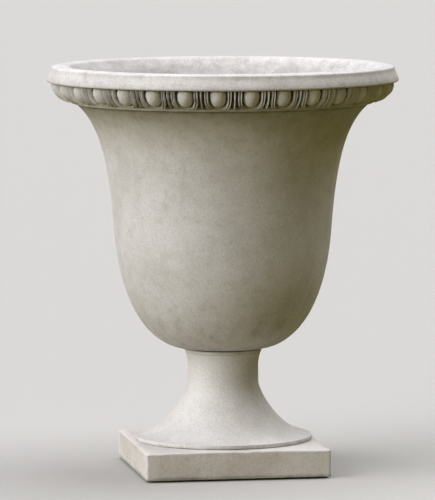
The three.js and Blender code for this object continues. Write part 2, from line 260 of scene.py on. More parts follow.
class Finish(Nodes):
    """A procedural material that reads the piece's own coordinates."""

    def __init__(self, name, seed):
        self.material = bpy.data.materials.new(name)
        self.material.use_nodes = True
        super().__init__(self.material.node_tree)
        place = self.wire("ShaderNodeTexCoord", out="Object")
        inputs = {"Vector": place, "Location": (seed, -seed, 2 * seed)}
        self.place = self.wire("ShaderNodeMapping", inputs)

    def stretched(self, scale):
        return self.wire("ShaderNodeMapping", {"Vector": self.place, "Scale": scale})

    def cloud(self, size, detail, roughness=0.55, place=None):
        """Soft noise whose patches are about that size in millimetres."""
        inputs = {
            "Vector": place or self.place,
            "Scale": 1 / (size * MM),
            "Detail": detail,
            "Roughness": roughness,
        }
        return self.wire("ShaderNodeTexNoise", inputs)

    def cells(self, size, out="Distance"):
        """Distance to the nearest of points scattered about that far apart, or that point's own colour."""
        inputs = {"Vector": self.place, "Scale": 1 / (size * MM)}
        return self.wire("ShaderNodeTexVoronoi", inputs, out)

    def ranged(self, value, low, high, to_low=0.0, to_high=1.0):
        inputs = {"Value": value, "From Min": low, "From Max": high, "To Min": to_low, "To Max": to_high}
        return self.wire("ShaderNodeMapRange", inputs, interpolation_type="SMOOTHSTEP")

    def attribute(self, name):
        return self.wire("ShaderNodeAttribute", out="Fac", attribute_name=name)

    def mixed(self, factor, first, second, blend="MIX"):
        inputs = {0: factor, 6: first, 7: second}
        return self.wire("ShaderNodeMix", inputs, 2, data_type="RGBA", blend_type=blend)

    def bumped(self, height, distance):
        inputs = {"Height": height, "Distance": distance * MM, "Strength": 1.0}
        return self.wire("ShaderNodeBump", inputs)

    def finished(self, colour, roughness, normal=None, metallic=0.0, specular=0.5):
        inputs = {"Base Color": colour, "Roughness": roughness, "Metallic": metallic}
        inputs["Specular IOR Level"] = specular
        if normal:
            inputs["Normal"] = normal
        shader = self.wire("ShaderNodeBsdfPrincipled", inputs)
        self.node("ShaderNodeOutputMaterial", {"Surface": shader})
        return self.material


def tone(red, green, blue):
    """A colour given as it looks, from 0 to 255, as the linear colour that a shader takes."""
    channels = []
    for value in (red, green, blue):
        share = value / 255
        channels.append(share / 12.92 if share <= 0.04045 else ((share + 0.055) / 1.055) ** 2.4)
    return (*channels, 1.0)


def cast_stone(name, seed, light, dark, stain, pale_tone, soil_and_shade_tone, top_stain_and_shade=None):
    """Sandy cast limestone: mottling, sand grains, pinholes, soil and painted shade in the crevices and
    hollows, and pale worn arrises, which on the band's crests are also a painted highlight.

    The top stain is (low, high, end, share): a stain, partly painted shade and painted reflection, that
    comes in from the low to the high height, in metres, takes that share of the colour there, and stops at
    the end."""
    finish = Finish(name, seed)
    broad = finish.cloud(MOTTLE_PATCH, 3)
    blotch = finish.cloud(BLOTCH_PATCH, 4, 0.65)
    sand = finish.cloud(SAND_PATCH, 2, 0.6)
    grain = finish.cloud(GRAIN_PATCH, 2, 0.7)
    runs = finish.cloud(RUN_PATCH, 3, 0.6, finish.stretched(RUN_STRETCH))
    soil_and_shade = finish.attribute("soil_and_shade")
    worn = finish.attribute("worn")
    mottle = finish.ranged(broad * 0.5 + blotch * 0.35 + runs * 0.15, 0.38, 0.62)
    colour = finish.mixed(mottle, light, dark)
    colour = finish.mixed(finish.ranged(blotch, 0.55, 0.75) * STAIN_SHARE, colour, stain)
    # Stain with painted shade and reflection: darker and olive just under the band's overhang
    if top_stain_and_shade:
        low, high, end, share = top_stain_and_shade
        place = finish.wire("ShaderNodeTexCoord", out="Object")
        height = finish.wire("ShaderNodeSeparateXYZ", {0: place}, 2)
        start = finish.ranged(height + blotch * 0.05 - 0.025, low, high)
        reach = start * finish.ranged(height, end, end + TOP_STAIN_AND_SHADE_END, share, 0.0)
        colour = finish.mixed(reach, colour, stain)
    sandy = finish.ranged(sand * 0.6 + grain * 0.4, 0.32, 0.68, *SAND_TONES)
    grey = finish.wire("ShaderNodeCombineColor", {0: sandy, 1: sandy, 2: sandy})
    colour = finish.mixed(1.0, colour, grey, "MULTIPLY")
    chosen = finish.wire("ShaderNodeSeparateColor", {0: finish.cells(PINHOLE_SPACING, "Color")})
    left_out = finish.ranged(chosen, 0.15, 0.2, 0.0, 0.5)
    pits = finish.ranged(finish.cells(PINHOLE_SPACING) + left_out, 0.05, 0.11, 1.0, 0.0)
    colour = finish.mixed(pits * PINHOLE_SHARE, colour, soil_and_shade_tone)
    # Soil and painted shade: marked spots and hollows take the dark tone, for dirt and for the shade that
    # falls there
    soiled_shaded = finish.ranged(soil_and_shade + blotch * 0.4 - 0.2, 0.1, 0.9)
    colour = finish.mixed(soiled_shaded * SOIL_AND_SHADE_SHARE, colour, soil_and_shade_tone)
    arris, crest = PALE_SHARES
    # Pale tone on worn arrises, and on the band's crests as wear and a painted highlight
    pale = finish.ranged(worn + sand * 0.2 - 0.1, 0.2, 0.9) * arris + finish.ranged(worn, 1.0, 2.0) * crest
    colour = finish.mixed(pale, colour, pale_tone)
    height = sand * 0.6 + grain * 0.35 - pits * 1.4 + blotch * 0.3
    rough = finish.ranged(mottle + sand * 0.3, 0.0, 1.3, 0.84, 0.96)
    return finish.finished(colour, rough, finish.bumped(height, 0.6), specular=0.3)


def mortar_finish():
    finish = Finish("mortar", 3.1)
    sand = finish.cloud(1.6, 4, 0.7)
    colour = finish.mixed(finish.ranged(sand, 0.35, 0.65), tone(206, 201, 190), tone(172, 166, 152))
    return finish.finished(colour, 0.95, finish.bumped(sand, 0.5), specular=0.25)


def rubber_finish(name, seed):
    finish = Finish(name, seed)
    bloom = finish.cloud(11, 4, 0.6)
    skin = finish.cloud(0.5, 2)
    colour = finish.mixed(finish.ranged(bloom, 0.4, 0.7), tone(30, 29, 27), tone(58, 56, 51))
    rough = finish.ranged(bloom, 0.3, 0.7, 0.62, 0.82)
    return finish.finished(colour, rough, finish.bumped(skin, 0.05))


def galvanised_finish():
    """Zinc coating with its frost-like flakes, dull grey with a little white rust."""
    finish = Finish("galvanised_steel", 4.4)
    flake = finish.wire("ShaderNodeSeparateColor", {0: finish.cells(3.5, "Color")})
    rust = finish.cloud(7, 4, 0.65)
    colour = finish.mixed(finish.ranged(flake, 0.0, 1.0), tone(150, 153, 154), tone(184, 186, 187))
    colour = finish.mixed(finish.ranged(rust, 0.56, 0.7) * 0.6, colour, tone(214, 213, 206))
    rough = finish.ranged(flake + rust, 0.4, 1.5, 0.34, 0.62)
    return finish.finished(colour, rough, finish.bumped(rust, 0.05), 1.0)


def screen_finish():
    """Steel sheet brushed along X."""
    finish = Finish("brushed_screen", 5.3)
    lines = finish.cloud(0.5, 3, 0.6, finish.stretched((0.03, 1.0, 1.0)))
    water = finish.cloud(9, 3, 0.6)
    colour = finish.mixed(finish.ranged(water, 0.45, 0.7), tone(186, 187, 187), tone(150, 146, 138))
    rough = finish.ranged(lines, 0.3, 0.7, 0.28, 0.5)
    return finish.finished(colour, rough, finish.bumped(lines, 0.02), 1.0)


def plastic_finish():
    finish = Finish("grey_plastic", 6.7)
    scuff = finish.cloud(3, 4, 0.7)
    colour = finish.mixed(finish.ranged(scuff, 0.4, 0.7), tone(104, 107, 110), tone(124, 126, 127))
    rough = finish.ranged(scuff, 0.3, 0.7, 0.42, 0.6)
    return finish.finished(colour, rough, finish.bumped(scuff, 0.03))


def floor_finish():
    """Floor that is pale to the camera and darker to the light that it throws back on the piece."""
    finish = Finish("studio_floor", 8.2)
    colour = finish.mixed(finish.shown(), FLOOR_BOUNCE, FLOOR_TONE)
    return finish.finished(colour, 0.9, specular=0.1)


def bezier(points, steps):
    """Rows of radius and height along a Bezier curve of any degree."""
    share = np.linspace(0, 1, steps + 1)[:, None]
    layer = [np.array(p, float)[None, :] for p in points]
    while len(layer) > 1:
        layer = [(1 - share) * a + share * b for a, b in zip(layer, layer[1:])]
    return layer[0]


def near(away, reach):
    """One at no distance, fading to almost nothing at twice the reach."""
    return np.exp(-((away / reach) ** 2))


def swept(radius, angle, height):
    """Points at each radius, angle and height about the turning axis."""
    return np.stack(np.broadcast_arrays(radius * np.cos(angle), radius * np.sin(angle), height), -1)


def quads(rows, columns, rows_close=True, columns_close=True):
    """Faces of a grid of points, row after row, closed or left open in either direction."""
    j = np.arange(rows if rows_close else rows - 1)[:, None]
    k = np.arange(columns if columns_close else columns - 1)
    next_k = (k + 1) % columns
    here = j * columns
    ahead = (j + 1) % rows * columns
    faces = np.stack([here + k, here + next_k, ahead + next_k, ahead + k], -1)
    return faces.reshape(-1, 4).tolist()


def built(name, points, faces):
    """Mesh through points given in millimetres."""
    mesh = bpy.data.meshes.new(name)
    mesh.from_pydata((points.reshape(-1, 3) * MM).tolist(), [], faces)
    return mesh


def plain(rows):
    """Outline entries without an eased corner."""
    return [(r, z, 0.0) for r, z in rows]


def eased(corners, longest=0.0):
    """Closed outline as rows of radius, height and wear, with no step longer than the longest, if given.

    A corner is (radius, height, ease): it is rounded over the ease between two rows that keep the faces
    beside it flat, and counts as a worn arris."""
    ease_share, hold_share = EASE_SHARES
    rows = []
    for i, (r, z, ease) in enumerate(corners):
        here = np.array([r, z])
        if not ease:
            rows.append((r, z, 0.0))
            continue
        ways = [np.array(corners[k][:2]) - here for k in (i - 1, (i + 1) % len(corners))]
        sides = [(way, np.linalg.norm(way)) for way in ways]
        start, end = (here + way * min(ease_share, ease / side) for way, side in sides)
        held = ease + EASE_HOLD
        hold_start, hold_end = (here + way * min(hold_share, held / side) for way, side in sides)
        rows.append((*hold_start, 0.0))
        rows.extend((*p, 1.0) for p in bezier([start, here, end], EASE_STEPS))
        rows.append((*hold_end, 0.0))
    rows = np.array(rows)
    if not longest:
        return rows
    fine = []
    for a, b in zip(rows, np.roll(rows, -1, axis=0)):
        steps = max(1, math.ceil(np.linalg.norm((b - a)[:2]) / longest))
        fine.extend(a + (b - a) * k / steps for k in range(steps))
    return np.array(fine)


def looped(name, rings, sharp=SHARP, capped=False):
    """Mesh through rings of points in millimetres, each joined to the next.

    The last ring is joined to the first, or both are capped with a flat face."""
    rings = np.asarray(rings, float)
    rows, around = rings.shape[:2]
    faces = quads(rows, around, rows_close=not capped)
    if capped:
        faces.append(list(range(around))[::-1])
        faces.append(list(range((rows - 1) * around, rows * around)))
    return settled(built(name, rings, faces), sharp)


def settled(mesh, sharp):
    """The mesh shaded smooth but for edges sharper than that many degrees."""
    mesh.update()
    mesh.shade_smooth()
    mesh.set_sharp_from_angle(angle=math.radians(sharp))
    return mesh


def marked(mesh, name, values):
    """Gives each point its value of an attribute that the materials read."""
    attribute = mesh.attributes.new(name, "FLOAT", "POINT")
    attribute.data.foreach_set("value", np.asarray(values, np.float32).reshape(-1))


def turned(name, outline, segments, z, soiled_shaded_spots=()):
    """Ring swept round the turning axis, with its soil and painted shade and its wear marked on its points.

    A darkened spot is (radius, height, reach, strength) on the outline, standing for soil and painted shade."""
    angles = np.arange(segments) * 2 * math.pi / segments
    mesh = looped(name, swept(outline[:, 0, None], angles, outline[:, 1, None] + z))
    soil_and_shade = np.zeros(len(outline))
    for radius, height, reach, strength in soiled_shaded_spots:
        away = np.hypot(outline[:, 0] - radius, outline[:, 1] - height)
        soil_and_shade = np.maximum(soil_and_shade, strength * near(away, reach))
    marked(mesh, "soil_and_shade", np.repeat(soil_and_shade, segments))
    marked(mesh, "worn", np.repeat(outline[:, 2], segments))
    return mesh


def weathered(mesh, seed, broad, fine, chips):
    """Moves a casting's surface by up to about broad and fine, as its mould and the weather leave it.

    Its worn arrises are chipped as well. All three are in millimetres."""
    count = len(mesh.vertices)
    place, normal = np.empty((2, count, 3))
    worn = np.empty(count)
    mesh.vertices.foreach_get("co", place.reshape(-1))
    mesh.vertices.foreach_get("normal", normal.reshape(-1))
    mesh.attributes["worn"].data.foreach_get("value", worn)
    shift = Vector((seed, 2 * seed, -seed))
    broad_patch, fine_patch = UNEVEN_PATCHES
    chip_patch, small_chip_patch = CHIP_PATCHES
    moves = np.empty(count)
    for i, co in enumerate(place):
        p = Vector(co)
        move = broad * noise.noise(p / broad_patch + shift) + fine * noise.noise(p / fine_patch + shift)
        if worn[i]:
            nick = noise.noise(p / chip_patch - shift) + 0.5 * noise.noise(p / small_chip_patch + shift)
            move -= chips * worn[i] * max(0.0, nick - CHIP_LEVEL)
        moves[i] = move
    place += normal * moves[:, None] * MM
    mesh.vertices.foreach_set("co", place.reshape(-1))
    mesh.update()


def placed(name, data):
    """A new object in the scene."""
    thing = bpy.data.objects.new(name, data)
    bpy.context.scene.collection.objects.link(thing)
    return thing


def piece(name, mesh, finish, body, slot, *nodes):
    """A finished piece in place, riding on its body in place of the nodes."""
    thing = placed(name, mesh)
    if finish:
        mesh.materials.clear()
        mesh.materials.append(finish)
    if nodes:
        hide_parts(*nodes)
    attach(thing, body)


class Pattern(Nodes):
    """A geometry node tree with named inputs, run on a base mesh."""

    kinds = {int: "NodeSocketInt", float: "NodeSocketFloat"}

    def __init__(self, name, sizes):
        super().__init__(bpy.data.node_groups.new(name, "GeometryNodeTree"))
        self.sizes = sizes
        face = self.tree.interface
        face.new_socket("Geometry", in_out="INPUT", socket_type="NodeSocketGeometry")
        for label, value in sizes.items():
            kind = self.kinds.get(type(value), "NodeSocketMaterial")
            face.new_socket(label, in_out="INPUT", socket_type=kind)
        face.new_socket("Geometry", in_out="OUTPUT", socket_type="NodeSocketGeometry")
        self.start = self.node("NodeGroupInput")

    def given(self, label):
        return Wire(self, self.start.outputs[label])

    def ended(self, geometry):
        """Ends the tree: instances are made real, shaded smooth and given their finish."""
        real = self.wire("GeometryNodeRealizeInstances", {0: geometry})
        smooth = self.wire("GeometryNodeSetShadeSmooth", {0: real})
        inputs = {"Geometry": smooth, "Material": self.given("Finish")}
        done = self.wire("GeometryNodeSetMaterial", inputs)
        self.node("NodeGroupOutput", {0: done})

    def grown(self, base, sharp):
        """The plain mesh that the pattern grows from a base mesh."""
        carrier = placed("carrier", base)
        modifier = carrier.modifiers.new("pattern", "NODES")
        modifier.node_group = self.tree
        for item in self.tree.interface.items_tree:
            if item.in_out == "INPUT" and item.name in self.sizes:
                modifier[item.identifier] = self.sizes[item.name]
        ready = carrier.evaluated_get(bpy.context.evaluated_depsgraph_get())
        mesh = bpy.data.meshes.new_from_object(ready)
        carrier.modifiers.clear()
        bpy.data.objects.remove(carrier)
        return settled(mesh, sharp)


def bell(bottom, belly, top, steps):
    """Curve of the bowl's wall from its flat bottom past the belly to its top, as in the solid model."""
    reach, rise, drop, lift, fall = BELL_SHARES
    low_reach = belly[0] - bottom[0]
    low_rise = belly[1] - bottom[1]
    high_rise = top[1] - belly[1]
    below = drop * low_rise
    above = lift * high_rise
    under = fall * high_rise
    lower = [
        bottom,
        (bottom[0] + reach * low_reach, bottom[1] + rise * low_rise),
        (belly[0] - BELLY_LEAN_SHARE * below, belly[1] - below),
        belly,
    ]
    upper = [
        belly,
        (belly[0] + BELLY_LEAN_SHARE * above, belly[1] + above),
        (top[0] - BELL_TOP_LEAN_SHARE * under, top[1] - under),
        top,
    ]
    return np.vstack([bezier(lower, steps), bezier(upper, steps)[1:]])


def bowl_casting(finish):
    """The bowl with its lip, set back behind the band, which is a piece of its own."""
    lip_radius, lip_height, batter = LIP
    shoulder = LIP_Z + lip_height - RIM_CROWN
    face = lip_radius - batter
    low_round, top_round = LIP_ROUNDS
    mouth_radius, mouth_round = MOUTH
    outer_end = (face - top_round, shoulder)
    mouth_start = (mouth_radius + mouth_round, shoulder)
    crown = ((outer_end[0] + mouth_start[0]) / 2, shoulder + 2 * RIM_CROWN)
    mouth_end = (mouth_radius, shoulder - mouth_round)
    rebate_floor = FLOOR[1] - REBATE[1]
    behind_band = BELL_TOP[0] - BAND_SEAT[0]
    under_lip = [(lip_radius - low_round, LIP_Z), (lip_radius, LIP_Z), (lip_radius, LIP_Z + low_round)]
    outline = [
        (OUTLET_HOLE, 0.0, 1.5),
        *plain(bell((SEAT_RADIUS, 0.0), BELLY, BELL_TOP, 36)),
        (behind_band, BELL_TOP[1] + BAND_SEAT[1], 0.0),
        (behind_band, LIP_Z, 0.0),
        (lip_radius - low_round - LIP_FLAT, LIP_Z, 0.0),
        *plain(bezier(under_lip, 8)),
        *plain(bezier([(face, shoulder - top_round), (face, shoulder), outer_end], 6)),
        *plain(bezier([outer_end, crown, mouth_start], 12)[1:]),
        *plain(bell(FLOOR, (BELLY[0] - WALL, BELLY[1]), mouth_end, 30)[::-1]),
        (REBATE[0], FLOOR[1], 1.0),
        (REBATE[0], rebate_floor, 0.0),
        (OUTLET_HOLE, rebate_floor, 1.0),
    ]
    rows = eased(outline, 7.0)
    radius, height, wear = rows.T
    rim = (height > LIP_Z + 1) & (height < shoulder + 3 * RIM_CROWN)
    sharp_top = 0.25 * near(np.hypot(radius - face, height - shoulder), 3.5)
    sharp_low = 0.6 * near(np.hypot(radius - lip_radius, height - LIP_Z), 5.0)
    washed = 0.3 * np.clip((height - shoulder + WASHED_REACH) / WASHED_REACH, 0, 1) * (radius < face)
    rows[:, 2] = np.maximum.reduce([wear, np.where(rim, np.maximum(sharp_top, sharp_low), 0), washed])
    # Painted shade, with some soil: darker under the band and the lip, at the seat and under the belly, down
    # the inside wall and on the floor, and on the lip's face, outer arris and rim top to tone down their
    # light
    soiled_shaded_spots = [
        (BELL_TOP[0], BELL_TOP[1], 9.0, 0.6),
        (BELL_TOP[0] + 20.0, LIP_Z, 18.0, 0.9),
        (SEAT_RADIUS, 0.0, 16.0, 0.5),
        (SEAT_RADIUS + 60.0, 30.0, 80.0, 0.24),
        (FLOOR[0], FLOOR[1], 60.0, 0.8),
        (mouth_radius - 20.0, shoulder - 36.0, 60.0, 0.46),
        (lip_radius, LIP_Z + 6.0, 13.0, 0.26),
        (face, shoulder, 8.0, 0.3),
        (crown[0], shoulder + RIM_CROWN, 26.0, 0.25),
    ]
    mesh = turned("bowl_casting", rows, CASTING_SEGMENTS, BOWL_Z, soiled_shaded_spots)
    weathered(mesh, seed=1.7, broad=0.4, fine=0.1, chips=1.2)
    piece("bowl_casting", mesh, finish, "bowl", "bowl_stone", "bowl")


def ridge(across, middle, half, rise, base=-GROOVE_DEPTH):
    """Rounded ridge standing on its base, and far below it everywhere else."""
    share = 1 - ((across - middle) / half) ** 2
    return np.where(share > 0, base + (rise - base) * np.sqrt(np.maximum(share, 0)), -99)


def nest(across, drop):
    """Half-width of the curve round the egg on which a place lies."""
    low = np.zeros(np.broadcast(across, drop).shape)
    high = low + 2 * FACE_HALF
    for _ in range(20):
        middle = (low + high) / 2
        depth = np.minimum(EGG_DROP * middle / EGG_HALF, EGG_DROP + NEST_SHARE * (middle - EGG_HALF))
        inside = (across / middle) ** NEST_POWER + (np.maximum(0, drop) / depth) ** NEST_POWER < 1
        high = np.where(inside, middle, high)
        low = np.where(inside, low, middle)
    return high


def relief(across, up):
    """Height of the carving over the band's face at places across and up an egg's field, in millimetres."""
    across = np.abs(across)
    drawn = nest(across, EGG_MIDDLE - up)
    egg = np.hypot(drawn, EGG_TOP_SHARE * np.maximum(0, up - EGG_MIDDLE))
    first, second = RIBS
    carved = np.where(drawn > second[0], -POCKET_DEPTH, -GROOVE_DEPTH)
    carved = np.where((drawn > first[0]) & (drawn < second[0]), RIB_VALLEY, carved)
    carved = np.maximum(carved, ridge(egg, 0, EGG_HALF, EGG_RISE))
    for middle, half, rise in RIBS:
        carved = np.maximum(carved, ridge(drawn, middle, half, rise * np.interp(up, *RIB_FADE)))
    half = np.interp(up, [DART_LOW, FACE_LENGTH], DART_HALVES)
    rise = np.interp(up, [DART_LOW, FACE_LENGTH], DART_RISES)
    return np.maximum(carved, ridge(across, FACE_HALF, half, rise, -POCKET_DEPTH))


def band_sector():
    """One egg with its ribs and two half darts, as a slice of the ring, with soil and painted shade, and
    wear and painted highlight, marked.
    """
    radius, rise, thickness = LEDGE
    ledge_low = BELL_TOP[1] + rise
    ledge_top = ledge_low + thickness
    up = np.r_[np.linspace(FACE_LOW, FACE_SPLIT, 20), np.linspace(FACE_SPLIT, FACE_LENGTH, 24)[1:]]
    half = np.r_[np.linspace(0, EGG_HALF, 9), np.linspace(EGG_HALF, FACE_HALF, 21)[1:]]
    across = np.r_[-half[:0:-1], half]
    level = up[:, None]
    blur_across, blur_up = CARVING_BLUR
    blur = [(a * blur_across, b * blur_up) for a in (-1, 0, 1) for b in (-1, 0, 1)]
    carved = np.mean([relief(across + a, level + b) for a, b in blur], axis=0)
    reach, drop = GROUND
    face = (up / FACE_LENGTH - 1) * math.pi / 2
    slope = np.stack([np.cos(face) / reach, np.sin(face) / drop], -1)
    slope /= np.linalg.norm(slope, axis=1)[:, None]
    r = BAND_CORE + reach * np.cos(face)[:, None] + carved * slope[:, :1]
    z = LIP_Z + drop * np.sin(face)[:, None] + carved * slope[:, 1:]
    z = np.maximum(z, ledge_top - LEDGE_SINK)
    ribbed = np.abs(across) > EGG_HALF + 1
    top_level, most = LIP_SHADE_AND_SOIL
    # Soil and painted shade: darker down the flanks and in the grooves and pockets, and a painted shadow
    # under the lip
    soil_and_shade = np.clip((np.where(ribbed, *CLEAN_LEVELS) - carved) / SOIL_AND_SHADE_FADE, 0, 1)
    soil_and_shade = np.maximum(soil_and_shade, np.clip((level - top_level) / FACE_END_FADE, 0, most))
    # Crests marked pale, as wear and a painted highlight that keeps them bright from any side
    crest = np.clip((carved - CREST_LEVEL) / CREST_FADE, 0, 1)
    crest = crest * np.clip((FACE_LENGTH - level) / FACE_END_FADE, 0, 1) * np.where(ribbed, *CREST_WEAR_AND_HIGHLIGHT)
    (egg_rise, egg_reach), (dart_rise, dart_reach) = LEDGE_KNOBS
    knob = egg_rise * near(across, egg_reach) + dart_rise * near(np.abs(across) - FACE_HALF, dart_reach)
    ones = np.ones_like(across)
    # Radius, height, share of the swelling and the wear, and soil and painted shade
    ledge = [
        (BAND_BACK, ledge_low, 0, 1),
        (radius - 3, ledge_low, 0, 1),
        (radius - 0.6, ledge_low + 0.2, 0.7, 0.6),
        (radius, ledge_low + 1.2, 1, 0.1),
        (radius, ledge_top - 1.2, 1, 0),
        (radius - 0.8, ledge_top, 0.8, 0),
    ]
    top = LIP_Z + BAND_SUNK
    back = [(r[-1], top), (BAND_BACK, top), (BAND_BACK, (LIP_Z + ledge_low) / 2)]
    rows = [(a * ones + k * (knob - KNOB_MEAN), b * ones, s * ones, k * ones) for a, b, k, s in ledge]
    rows += zip(r, z, soil_and_shade, crest)
    rows += [(a * ones, b * ones, ones, 0 * ones) for a, b in back]
    rows = np.array(rows)
    points = swept(rows[:, 0], across / FACE_HALF * math.pi / EGGS, rows[:, 1] + BOWL_Z)
    mesh = built("egg_sector", points, quads(len(rows), len(across), columns_close=False))
    marked(mesh, "soil_and_shade", rows[:, 2])
    marked(mesh, "worn", rows[:, 3])
    return mesh


def bowl_band(finish):
    """Egg-and-dart band: the sector repeated round the bowl, joined into one ring and worn unevenly."""
    sizes = {"Eggs": EGGS, "Seed": 4.0, "Wear Size": 0.014, "Wear Depth": 0.0011, "Finish": finish}
    pattern = Pattern("egg_and_dart_band", sizes)
    share = pattern.maths("DIVIDE", 1.0, pattern.given("Eggs"))
    turn = 2 * math.pi * pattern.wire("GeometryNodeInputIndex") * share
    spots = pattern.wire("GeometryNodePoints", {"Count": pattern.given("Eggs")})
    angles = pattern.wire("ShaderNodeCombineXYZ", {"Z": turn})
    inputs = {"Points": spots, "Instance": pattern.given("Geometry"), "Rotation": angles}
    copies = pattern.wire("GeometryNodeInstanceOnPoints", inputs)
    ring = pattern.wire("GeometryNodeRealizeInstances", {0: copies})
    ring = pattern.wire("GeometryNodeMergeByDistance", {"Geometry": ring, "Distance": 0.00005})
    scale = pattern.maths("DIVIDE", 1.0, pattern.given("Wear Size"))
    inputs = {"W": pattern.given("Seed"), "Scale": scale, "Detail": 2.0}
    cloud = pattern.wire("ShaderNodeTexNoise", inputs, noise_dimensions="4D")
    depth = (cloud - 0.5) * pattern.given("Wear Depth") * 2.0
    normal = pattern.wire("GeometryNodeInputNormal")
    offset = pattern.wire("ShaderNodeVectorMath", {0: normal, "Scale": depth}, operation="SCALE")
    worn = pattern.wire("GeometryNodeSetPosition", {"Geometry": ring, "Offset": offset})
    pattern.ended(worn)
    piece("bowl_band", pattern.grown(band_sector(), 60), None, "bowl", "bowl_stone")


def foot_casting(finish):
    """Turned foot: disc edge, flare, waist, neck and collar, with a nut recess and a core hole."""
    edge_radius, edge_height = FOOT_EDGE
    collar_radius, collar_height, collar_step = COLLAR
    recess_radius, recess_depth = FOOT_RECESS
    neck = (collar_radius - collar_step, FOOT_HEIGHT - collar_height)
    flare_reach = edge_radius - WAIST[0]
    flare_rise = WAIST[1] - edge_height
    neck_rise = neck[1] - WAIST[1]
    neck_drop = NECK_SHARES[1] * neck_rise
    flare = [
        FOOT_EDGE,
        (edge_radius - FLARE_SHARES[0] * flare_reach, edge_height + FLARE_SHARES[1] * flare_rise),
        (WAIST[0], WAIST[1] - FLARE_SHARES[2] * flare_rise),
        WAIST,
    ]
    throat = [
        WAIST,
        (WAIST[0], WAIST[1] + NECK_SHARES[0] * neck_rise),
        (neck[0] - NECK_SHARES[2] * neck_drop, neck[1] - neck_drop),
        neck,
    ]
    outline = [
        (CORE_HOLE, 0.0, 0.0),
        (edge_radius - 0.2, 0.0, 0.4),
        (*FOOT_EDGE, 0.5),
        *plain(bezier(flare, 44)[1:]),
        *plain(bezier(throat, 16)[1:]),
        (collar_radius, neck[1], 0.7),
        (collar_radius, FOOT_HEIGHT, 1.2),
        (recess_radius, FOOT_HEIGHT, 1.0),
        (recess_radius, FOOT_HEIGHT - recess_depth, 0.0),
        (CORE_HOLE, FOOT_HEIGHT - recess_depth, 0.0),
    ]
    # Painted shade in the joints: darker where the disc meets the plinth, under the collar, and at the
    # collar's top under the gasket
    soiled_shaded_spots = [
        (edge_radius + 1.0, 0.5, 4.0, 0.4),
        (neck[0], neck[1] - 0.5, 2.0, 0.5),
        (collar_radius, FOOT_HEIGHT, 2.0, 0.5),
    ]
    rows = eased(outline, 5.0)
    rows[:, 2] *= np.where(rows[:, 0] > edge_radius - 3, 0.15, 1)
    mesh = turned("foot_casting", rows, FOOT_SEGMENTS, FOOT_Z, soiled_shaded_spots)
    weathered(mesh, seed=5.9, broad=0.25, fine=0.08, chips=0.8)
    piece("foot_casting", mesh, finish, "base", "foot_stone", "foot")


def square_plan(half, corner, along, round_steps):
    """Points round a square with rounded corners, anticlockwise from the middle of its +X side."""
    straight = half - corner
    side = [(half, y) for y in np.linspace(-straight, straight, along + 1)]
    turn = np.radians(np.linspace(0, 90, round_steps + 2)[1:-1])
    side += [(straight + corner * math.cos(a), straight + corner * math.sin(a)) for a in turn]
    side = np.array(side)
    quarter = np.array([[0, -1], [1, 0]])
    plan = [side]
    for _ in range(3):
        plan.append(plan[-1] @ quarter.T)
    return np.vstack(plan)


def plinth_slab(finish):
    """Square slab with chipped arrises, its outline running from the round core hole to the square sides."""
    plan = square_plan(PLINTH_HALF, PLINTH_CORNER, 76, 4)
    far = np.linalg.norm(plan, axis=1)
    recess_radius, recess_depth = PLINTH_RECESS
    wash_reach, wash_drop = PLINTH_WASH
    tip_drop, tip_reach = PLINTH_TIPS
    arris = PLINTH_HEIGHT - wash_drop
    corners = [
        (CORE_HOLE, recess_depth, 0.0),
        (recess_radius, recess_depth, 0.0),
        (recess_radius, 0.0, 1.0),
        (PLINTH_HALF, 0.0, 1.6),
        (PLINTH_HALF, arris, 2.2),
        (PLINTH_HALF - wash_reach, PLINTH_HEIGHT, 0.0),
        (CORE_HOLE, PLINTH_HEIGHT, 0.0),
    ]
    outline = eased(corners, 4.5)
    reach = outline[:, 0, None]
    level = outline[:, 1, None]
    round_end, square_start = 45, PLINTH_HALF - 15
    tip_wear_reach, foot_shade_reach, low_dark_reach = 14, 5, 6
    square = np.clip((reach - round_end) / (square_start - round_end), 0, 1)[..., None]
    flat = (1 - square) * reach[..., None] * (plan / far[:, None])
    flat = flat + square * (reach / PLINTH_HALF)[..., None] * plan
    from_tip = far - math.sqrt(2) * PLINTH_HALF
    top = (level > arris - 2.5) * np.clip(reach / PLINTH_HALF, 0, 1) ** 6
    height = level + PLINTH_Z - tip_drop * top * near(from_tip, tip_reach)
    mesh = looped("plinth_slab", np.concatenate([flat, height[..., None]], -1), 50)
    upright = np.where(reach > PLINTH_HALF - 1, near(from_tip, tip_wear_reach), 0)
    washed = 0.75 * (level > arris + 0.3)
    # Painted shade on the top round the foot's edge
    under_foot_shade = near(np.linalg.norm(flat, axis=2) - FOOT_EDGE[0], foot_shade_reach)
    under_foot_shade = under_foot_shade * (level > PLINTH_HEIGHT - 1)
    # Darker along the bottom of the sides
    low = near(level, low_dark_reach) * (np.abs(flat).max(axis=2) > PLINTH_HALF - 5)
    marked(mesh, "soil_and_shade", np.maximum(0.25 * under_foot_shade, 0.6 * low))
    marked(mesh, "worn", np.maximum(np.maximum(outline[:, 2, None], washed), upright))
    weathered(mesh, seed=9.3, broad=0.25, fine=0.1, chips=1.3)
    piece("plinth_slab", mesh, finish, "base", "plinth_stone", "plinth")


